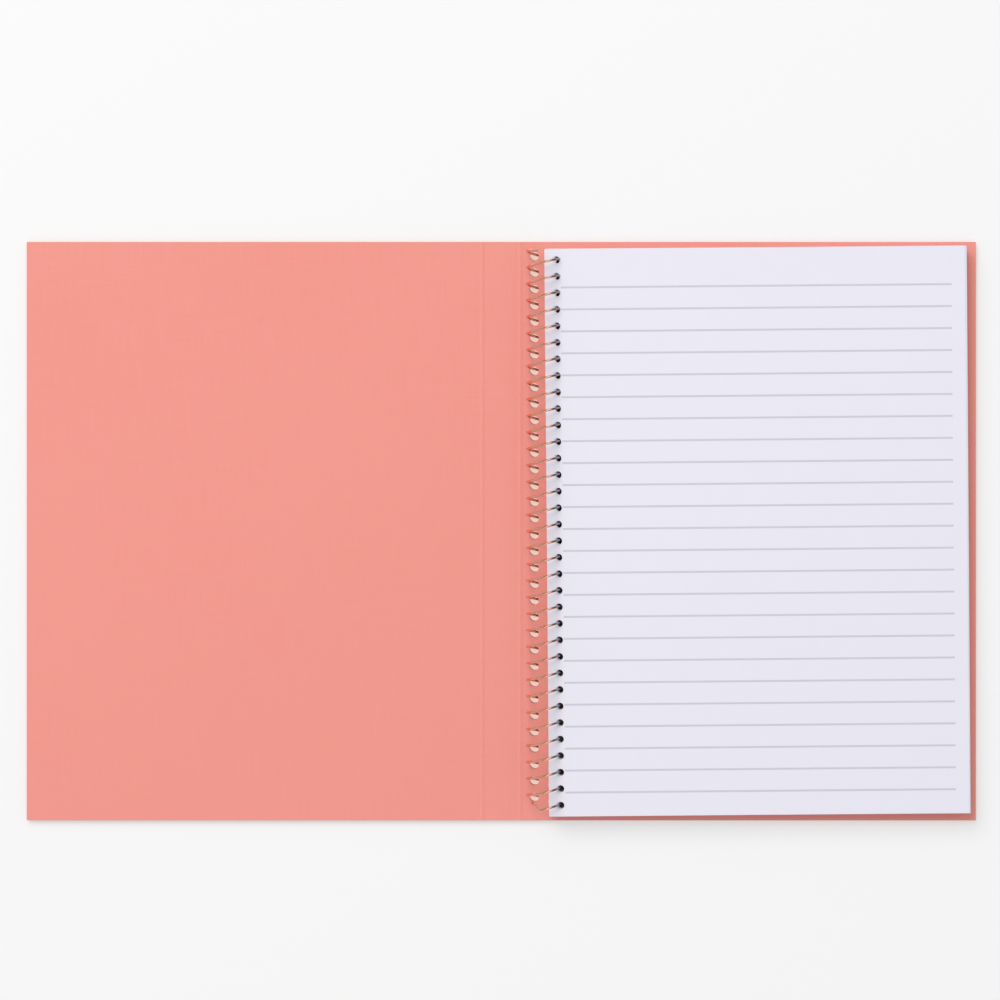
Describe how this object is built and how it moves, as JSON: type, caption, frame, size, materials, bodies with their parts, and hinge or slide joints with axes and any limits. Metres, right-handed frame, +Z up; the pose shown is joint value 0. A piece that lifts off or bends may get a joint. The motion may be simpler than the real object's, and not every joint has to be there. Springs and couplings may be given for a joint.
{
  "type": "open spiral notebook",
  "caption": "Spiral notebook lying open: a card cover with two folds round a block of ruled leaves, held by a wire coil.",
  "frame": {"origin": "under the middle of the open notebook's outline, level with the lowest point of the wire coil", "axes": "+X from the front cover to the leaves, +Y from the tail to the head of the leaves, +Z up, out of the page"},
  "size_m": [0.3676, 0.224, 0.0142],
  "materials": {
    "cover_card": "matt, fine cloth grain",
    "leaf_paper": "matt, ruled in pale grey",
    "gold_wire": "polished"
  },
  "bodies": {
    "back": {"back_cover": "cover_card", "page_block": "leaf_paper", "wire_coil": "gold_wire"},
    "spine": {"spine_panel": "cover_card"},
    "front": {"front_cover": "cover_card"}
  },
  "joints": [
    {"name": "back_fold", "type": "hinge", "parent": "back", "child": "spine", "pos_m": [0.00736, 0, 0.00165], "axis": [0, 1, 0], "range_deg": [-90, 90]},
    {"name": "front_fold", "type": "hinge", "parent": "spine", "child": "front", "pos_m": [-0.00736, 0, 0.00165], "axis": [0, 1, 0], "range_deg": [-90, 90]}
  ]
}
